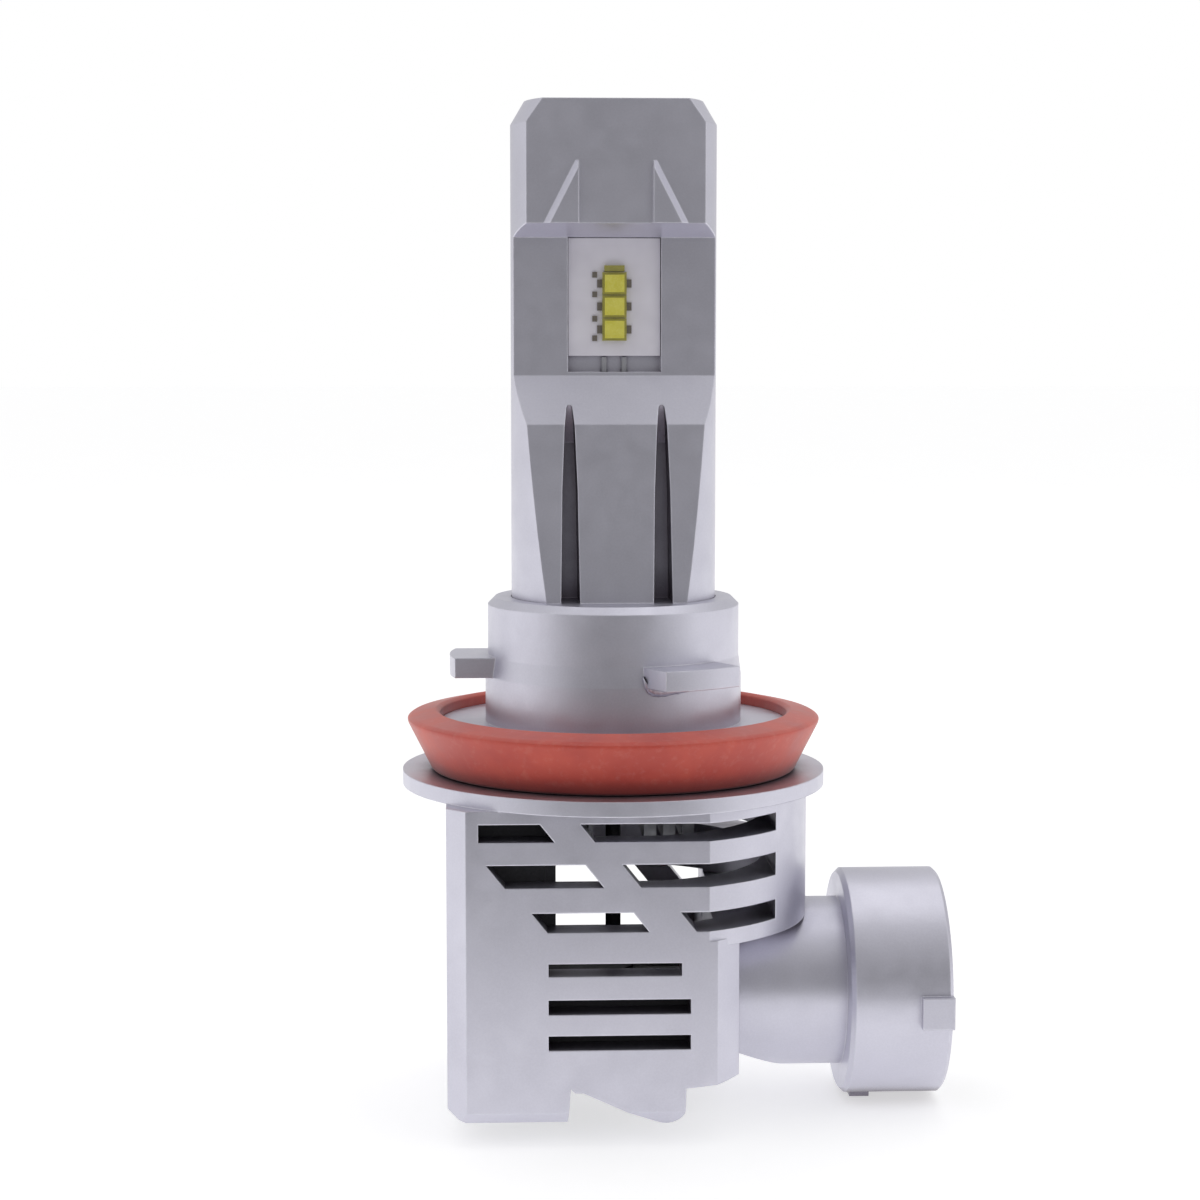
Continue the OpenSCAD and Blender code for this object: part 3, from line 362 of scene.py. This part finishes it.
MATERIALS = {
    "cast_silver": cast_silver(),
    "bare_aluminium": bare_aluminium(),
    "copper": bright_metal("copper", (0.62, 0.26, 0.14), (0.82, 0.42, 0.26), 0.34),
    "board_white": board_white(),
    "emitter_substrate": emitter_substrate(),
    "phosphor": phosphor(),
    "solder": solder(),
    "seal_red": seal_red(),
    "steel": bright_metal("steel", (0.42, 0.42, 0.44), (0.62, 0.62, 0.64), 0.32),
    "circuit_board": circuit_board(),
    "ferrite": sintered("ferrite", (0.035, 0.035, 0.038), (0.085, 0.085, 0.09), 0.6),
    "capacitor": sintered("capacitor", (0.30, 0.22, 0.12), (0.44, 0.34, 0.20), 0.45),
    "chip_black": moulded_black("chip_black", (0.012, 0.012, 0.013), 0.55, 0.12),
    "lead_red": insulation("lead_red", (0.30, 0.015, 0.012), (0.42, 0.03, 0.02)),
    "lead_black": insulation("lead_black", (0.010, 0.010, 0.011), (0.03, 0.03, 0.032)),
    # The white leads are darkened to grey as painted shade of the gap under the LED board
    "lead_white": insulation("lead_white", (0.30, 0.30, 0.33), (0.40, 0.40, 0.43)),
    "bronze": sintered("bronze", (0.36, 0.22, 0.09), (0.52, 0.36, 0.17), 0.4),
    "terminal_tin": bright_metal("terminal_tin", (0.60, 0.58, 0.52), (0.78, 0.76, 0.70), 0.26),
    "ring_black": moulded_black("ring_black", (0.010, 0.010, 0.010), 0.42, 0.3),
    "black_plastic": moulded_black("black_plastic"),
    "fan_black": moulded_black("fan_black", (0.016, 0.016, 0.018), 0.46, 0.14),
}


def finish_nodes():
    """Gives every CAD node the procedural material of its slot."""
    slots = {part["node"]: part["material_slot"] for part in frame["record"]["subparts"]}
    for name, obj in frame["nodes"].items():
        obj.data.materials.clear()
        obj.data.materials.append(MATERIALS[slots[name]])


finish_nodes()


# ---------------------------------------------------------------- pieces made here

def new_piece(name, form, slot, smooth_angle):
    """A piece on the lamp body from a bmesh, shaded smooth up to an angle in degrees."""
    bmesh.ops.recalc_face_normals(form, faces=form.faces)
    mesh = bpy.data.meshes.new(name)
    form.to_mesh(mesh)
    form.free()
    for face in mesh.polygons:
        face.use_smooth = True
    mesh.set_sharp_from_angle(angle=math.radians(smooth_angle))
    piece = bpy.data.objects.new(name, mesh)
    bpy.context.scene.collection.objects.link(piece)
    mesh.materials.append(MATERIALS[slot])
    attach(piece, LAMP)
    return piece


def ring(form, outline, turn):
    """Vertices of a closed outline of (radius, height) points, turned about the lamp axis."""
    return [
        form.verts.new((r * MM * math.cos(turn), r * MM * math.sin(turn), z * MM))
        for r, z in outline
    ]


def skin(form, first, second):
    """Faces between two neighbouring rings."""
    size = len(first)
    for k in range(size):
        after = (k + 1) % size
        form.faces.new((first[k], second[k], second[after], first[after]))


def rounded_profile(corners, steps=5):
    """Points of a closed outline; each corner is (radius, height, rounding) in millimetres."""
    # The most of a neighbouring side that a rounding takes up
    most = 0.45
    points = []
    for i, (r, z, rounding) in enumerate(corners):
        here = Vector((r, z))
        before = Vector(corners[i - 1][:2]) - here
        after = Vector(corners[(i + 1) % len(corners)][:2]) - here
        reach = min(rounding, most * before.length, most * after.length)
        start = here + before.normalized() * reach
        end = here + after.normalized() * reach
        for k in range(steps + 1):
            t = k / steps
            points.append((1 - t) ** 2 * start + 2 * t * (1 - t) * here + t ** 2 * end)
    return points


def turned(name, corners, slot, sides=160):
    """A ring turned about the lamp axis from a rounded outline."""
    outline = rounded_profile(corners)
    form = bmesh.new()
    rings = [ring(form, outline, 2 * math.pi * i / sides) for i in range(sides)]
    for i in range(sides):
        skin(form, rings[i], rings[(i + 1) % sides])
    return new_piece(name, form, slot, smooth_angle=50)


def seal():
    """Moulded seal: a flat foot on the boss, a flared skirt and a round lip."""
    low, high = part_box("sealing_gasket")
    rim, foot, top = high[0] / MM, low[2] / MM, high[2] / MM
    # Radius of the bore, which is loose on the boss, in millimetres
    inner = 13.15
    foot_width, crest_width, crest_drop = 0.62, 0.30, 0.22
    # The lip's corners: how far in from the rim, how far below the top, rounding
    lip = [(0.06, 0.85, 0.22), (0.03, 0.62, 0.2), (0.34, 0.40, 0.18)]
    corners = [
        (inner, foot, 0.1),
        (inner + foot_width, foot, 0.25),
        *[(rim - back, top - drop, rounding) for back, drop, rounding in lip],
        (inner + crest_width, top, 0.2),
        (inner, top - crest_drop, 0.1),
    ]
    piece = turned("seal_ring", corners, "seal_red")
    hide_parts("sealing_gasket")


seal()


def filled_in(stations, steps):
    """The stations, with steps - 1 more between each two of them."""
    rows = []
    for here, after in zip(stations, stations[1:]):
        for k in range(steps):
            t = k / steps
            rows.append([a + (b - a) * t for a, b in zip(here, after)])
    return rows + [stations[-1]]


def flash_section(top, low, proud):
    """Outline of the flash from the collar's foot outwards, curling in at its lower edge."""
    # Radii of the collar's foot and of the flash's root inside it, in millimetres
    wall, root = 9.70, 9.55
    # How far down the flash stops bulging and curls in, as shares of its height
    belly, curl = 0.60, 0.88
    # What is left of the bulge at the curl and at the lower edge
    curl_share, edge_share = 0.8, 0.4
    return [
        (root, top),
        (wall + proud, top),
        (wall + proud, (1 - belly) * top + belly * low),
        (wall + curl_share * proud, (1 - curl) * top + curl * low),
        (wall + edge_share * proud, low),
        (root, low),
    ]


def casting_flash():
    """Thin ragged flash left by the die under the front right tab."""
    # Stations round the collar: angle in degrees, then the heights of the top and the
    # bottom and how far it stands proud, in millimetres
    stations = [
        (279.9, 0.85, 0.60, 0.06), (280.5, 0.60, 0.10, 0.30), (281.8, 0.25, -0.32, 0.42),
        (284.0, 0.15, -0.58, 0.44), (287.5, 0.08, -0.68, 0.36), (292.0, 0.08, -0.60, 0.26),
        (297.0, 0.08, -0.50, 0.26), (303.0, 0.08, -0.36, 0.20), (308.0, 0.08, -0.08, 0.06),
    ]
    ragged = random.Random(7)
    form = bmesh.new()
    rings = []
    for angle, top, low, proud in filled_in(stations, 6):
        low += ragged.uniform(-0.03, 0.03)
        proud *= ragged.uniform(0.9, 1.1)
        rings.append(ring(form, flash_section(top, low, proud), math.radians(angle)))
    for first, second in zip(rings, rings[1:]):
        skin(form, first, second)
    form.faces.new(rings[0])
    form.faces.new(rings[-1][::-1])
    new_piece("collar_flash", form, "cast_silver", smooth_angle=60)


casting_flash()


# ---------------------------------------------------------------- studio

# Where the floor ends in front of the part, whose front faces then reflect the darker
# surround, and how far it goes to the sides and back, in metres
FLOOR_FRONT = -0.067
FLOOR_REACH = 3.0
# Strength of the light that the floor gives off
FLOOR_GLOW = 0.55

# Brightness of the surround in front of the part and elsewhere, and the values of the
# direction's Y between which it changes
SURROUND_FRONT, SURROUND_REST = 0.28, 0.67
FRONT_BELOW, REST_ABOVE = -0.95, -0.35

# Where the camera is and what it looks at, in metres, and its lens in millimetres
EYE, AIM = (-0.010, -0.197, 0.0252), (-0.001, 0.0, 0.0055)
LENS = 78.4

# The point that every soft light faces
LIT_POINT = (0.0, 0.0, 0.005)
# Each soft light's name, its place and its width and height in metres, its power in watts
SOFT_LIGHTS = [
    ("left_box", (-0.45, -0.05, 0.15), (0.5, 0.6), 0.17),
    ("right_box", (0.38, -0.22, 0.22), (0.5, 0.6), 0.24),
    ("top_box", (0.05, 0.12, 0.50), (0.5, 0.5), 0.44),
]


def white_floor():
    """Glowing white paper under the feet."""
    lowest = CAD_BOX[0][2]
    corners = [
        (-FLOOR_REACH, FLOOR_FRONT, lowest), (FLOOR_REACH, FLOOR_FRONT, lowest),
        (FLOOR_REACH, FLOOR_REACH, lowest), (-FLOOR_REACH, FLOOR_REACH, lowest),
    ]
    mesh = bpy.data.meshes.new("studio_floor")
    mesh.from_pydata(corners, [], [(0, 1, 2, 3)])
    floor = bpy.data.objects.new("studio_floor", mesh)
    bpy.context.scene.collection.objects.link(floor)
    s = Shader("studio_floor")
    paper = s.mix(s.noise(30.0), (0.66, 0.66, 0.665, 1), (0.70, 0.70, 0.705, 1))
    s.surface(
        Base_Color=paper, Roughness=0.9,
        Emission_Color=(1, 1, 1, 1), Emission_Strength=FLOOR_GLOW,
    )
    mesh.materials.append(s.material)


def aimed(name, data, place, aim):
    """A camera or light at place, looking at aim."""
    obj = bpy.data.objects.new(name, data)
    obj.location = place
    obj.rotation_euler = (Vector(aim) - Vector(place)).to_track_quat("-Z", "Y").to_euler()
    bpy.context.scene.collection.objects.link(obj)
    return obj


def soft_light(name, place, size, power):
    """A white area light on the part."""
    data = bpy.data.lights.new(name, "AREA")
    data.shape = "RECTANGLE"
    data.size, data.size_y = size
    data.energy = power
    aimed(name, data, place, LIT_POINT)


def surround():
    """Pale surround that is darker in front of the part. The camera sees it as plain white."""
    world = bpy.data.worlds.new("studio")
    bpy.context.scene.world = world
    world.use_nodes = True
    nodes, links = world.node_tree.nodes, world.node_tree.links
    background = nodes["Background"]
    coords = nodes.new("ShaderNodeTexCoord")
    split = nodes.new("ShaderNodeSeparateXYZ")
    links.new(coords.outputs["Generated"], split.inputs[0])
    ramp = nodes.new("ShaderNodeMapRange")
    links.new(split.outputs["Y"], ramp.inputs["Value"])
    ramp.inputs["From Min"].default_value = FRONT_BELOW
    ramp.inputs["From Max"].default_value = REST_ABOVE
    ramp.inputs["To Min"].default_value = SURROUND_FRONT
    ramp.inputs["To Max"].default_value = SURROUND_REST
    seen = nodes.new("ShaderNodeLightPath")
    pick = nodes.new("ShaderNodeMix")
    links.new(seen.outputs["Is Camera Ray"], pick.inputs["Factor"])
    links.new(ramp.outputs["Result"], pick.inputs["A"])
    pick.inputs["B"].default_value = 1.0
    links.new(pick.outputs["Result"], background.inputs["Strength"])
    background.inputs["Color"].default_value = (1, 1, 1, 1)


def camera():
    """The camera, slightly to the left of the front and above the collar."""
    data = bpy.data.cameras.new("camera")
    data.sensor_width = 36.0
    data.lens = LENS
    data.clip_start = 0.002
    data.clip_end = 20.0
    bpy.context.scene.camera = aimed("camera", data, EYE, AIM)


white_floor()
surround()
camera()
for name, place, size, power in SOFT_LIGHTS:
    soft_light(name, place, size, power)

bpy.context.scene.view_settings.view_transform = "Standard"
